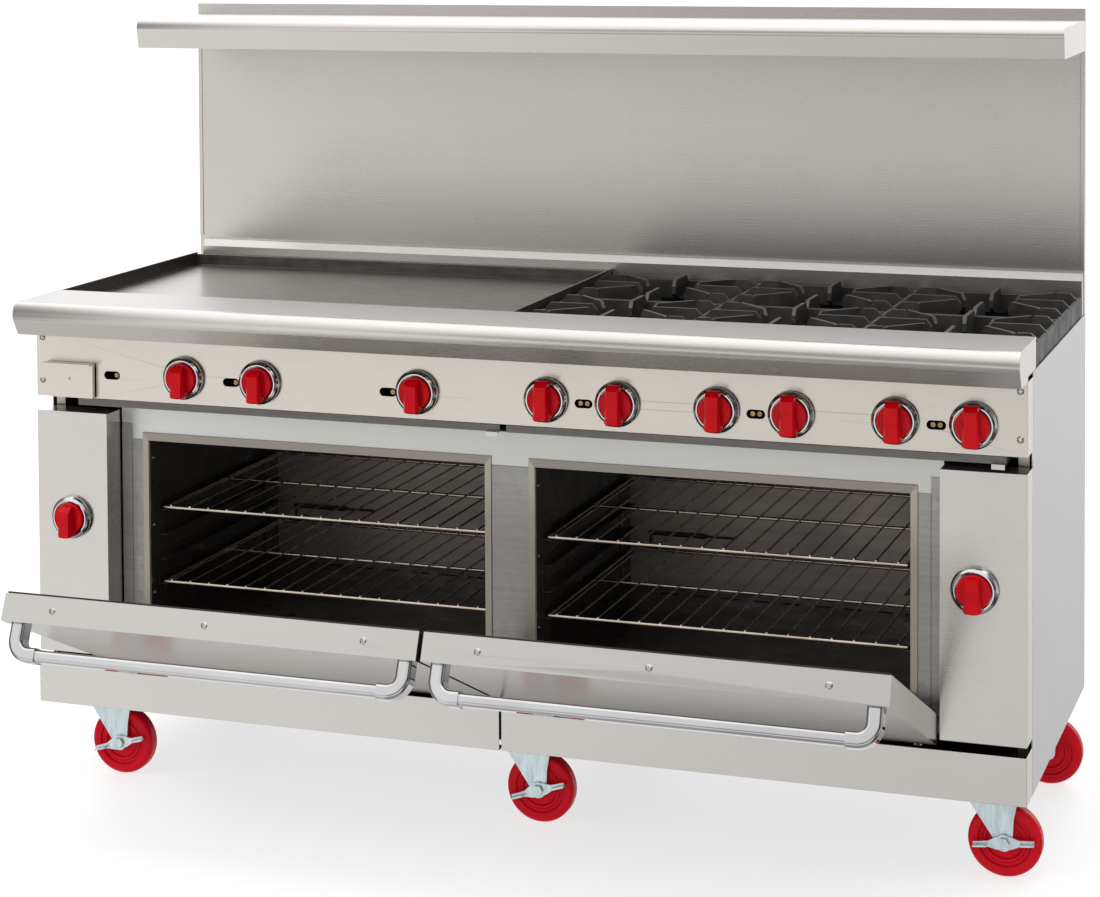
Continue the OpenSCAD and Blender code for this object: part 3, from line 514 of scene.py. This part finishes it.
def make_world():
    """White to the camera and as plain light; reflections see a room with pale and dark walls."""
    world = bpy.data.worlds.new("studio")
    bpy.context.scene.world = world
    world.use_nodes = True
    tree = world.node_tree
    tree.nodes.clear()
    new = tree.nodes.new
    link = tree.links.new
    split = new("ShaderNodeSeparateXYZ")
    link(new("ShaderNodeTexCoord").outputs["Generated"], split.inputs["Vector"])
    height = split.outputs["Z"]

    def blend(low, high, factor):
        mixed = new("ShaderNodeMix")
        mixed.data_type = "RGBA"
        link(factor, mixed.inputs["Factor"])
        link(low, mixed.inputs["A"])
        link(high, mixed.inputs["B"])
        return mixed.outputs["Result"]

    def step(value, limits):
        soft = new("ShaderNodeMapRange")
        soft.interpolation_type = "SMOOTHSTEP"
        soft.inputs["From Min"].default_value, soft.inputs["From Max"].default_value = limits
        link(value, soft.inputs["Value"])
        return soft.outputs["Result"]

    left, right, back = (ramp(tree, height, stops) for stops in (ROOM_LEFT, ROOM_RIGHT, ROOM_BACK))
    front = blend(left, right, step(split.outputs["X"], ROOM_TURN))
    walls = blend(front, back, step(split.outputs["Y"], ROOM_BEHIND))
    screens = new("ShaderNodeMix")
    screens.data_type = "RGBA"
    screens.blend_type = "MULTIPLY"
    screens.inputs["Factor"].default_value = 1
    link(walls, screens.inputs["A"])
    link(ramp(tree, split.outputs["X"], ROOM_SCREENS), screens.inputs["B"])
    room = new("ShaderNodeBackground")
    room.inputs["Strength"].default_value = ROOM_STRENGTH
    link(screens.outputs["Result"], room.inputs["Color"])
    plain = new("ShaderNodeBackground")
    plain.inputs["Color"].default_value = (1, 1, 1, 1)
    mix = new("ShaderNodeMixShader")
    link(new("ShaderNodeLightPath").outputs["Is Glossy Ray"], mix.inputs[0])
    link(plain.outputs["Background"], mix.inputs[1])
    link(room.outputs["Background"], mix.inputs[2])
    link(mix.outputs["Shader"], new("ShaderNodeOutputWorld").inputs["Surface"])


def softbox(name, place, target, size, watts):
    """A rectangular area light at place, turned to target, that reflections do not show."""
    data = bpy.data.lights.new(name, "AREA")
    data.shape = "RECTANGLE"
    data.size, data.size_y = size
    data.energy = watts
    light = bpy.data.objects.new(name, data)
    light.location = place
    light.rotation_mode = "QUATERNION"
    light.rotation_quaternion = (Vector(target) - Vector(place)).to_track_quat("-Z", "Y")
    light.visible_glossy = False
    bpy.context.scene.collection.objects.link(light)


def make_lights(low, high):
    middle = (low + high) / 2
    softbox("key", (-3.2, -4.2, 4.2), middle, size=(4.0, 4.0), watts=110)
    softbox("overhead", (-0.6, -0.4, 4.6), middle, size=(4.5, 3.0), watts=110)


def make_camera():
    """Stands in front of the range and to its right, with the lens shifted down and to the right."""
    data = bpy.data.cameras.new("camera")
    data.sensor_width = 36
    data.lens = LENS
    data.clip_end = 200
    camera = bpy.data.objects.new("camera", data)
    bpy.context.scene.collection.objects.link(camera)
    forward = Vector((
        -math.sin(CAMERA_YAW) * math.cos(CAMERA_PITCH),
        math.cos(CAMERA_YAW) * math.cos(CAMERA_PITCH),
        -math.sin(CAMERA_PITCH),
    ))
    level = forward.cross(Vector((0, 0, 1))).normalized()
    upright = level.cross(forward)
    right = level * math.cos(CAMERA_ROLL) + upright * math.sin(CAMERA_ROLL)
    up = upright * math.cos(CAMERA_ROLL) - level * math.sin(CAMERA_ROLL)
    turn = Matrix((right, up, -forward)).transposed().to_4x4()
    camera.matrix_world = Matrix.Translation(Vector(CAMERA_HOME)) @ turn
    for channel, amount in zip(("shift_x", "shift_y"), LENS_SHIFT):
        shift_at_home(camera, channel, amount)
    bpy.context.scene.camera = camera


def shift_at_home(camera, channel, amount):
    """Shifts the lens only while the camera stands at home, so that other views stay centred."""
    driver = camera.data.driver_add(channel).driver
    for axis in "XYZ":
        variable = driver.variables.new()
        variable.name = axis.lower()
        variable.type = "TRANSFORMS"
        variable.targets[0].id = camera
        variable.targets[0].transform_type = "LOC_" + axis
    x, y, z = CAMERA_HOME
    driver.type = "SCRIPTED"
    driver.expression = f"{amount} * (abs(x - {x}) + abs(y - {y}) + abs(z - {z}) < 0.01)"


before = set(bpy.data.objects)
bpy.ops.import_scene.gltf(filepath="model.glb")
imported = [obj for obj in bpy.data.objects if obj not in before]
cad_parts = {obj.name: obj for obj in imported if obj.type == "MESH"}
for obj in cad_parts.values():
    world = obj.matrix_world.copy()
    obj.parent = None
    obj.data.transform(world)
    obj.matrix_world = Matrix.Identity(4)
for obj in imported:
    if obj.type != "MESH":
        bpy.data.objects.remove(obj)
low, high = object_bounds()
dress_all(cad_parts)
dress_details(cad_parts)
for name, width in SOFT_EDGES.items():
    soften(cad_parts[name], width)
make_floor()
make_world()
make_lights(low, high)
make_camera()
bpy.context.scene.view_settings.view_transform = "Standard"
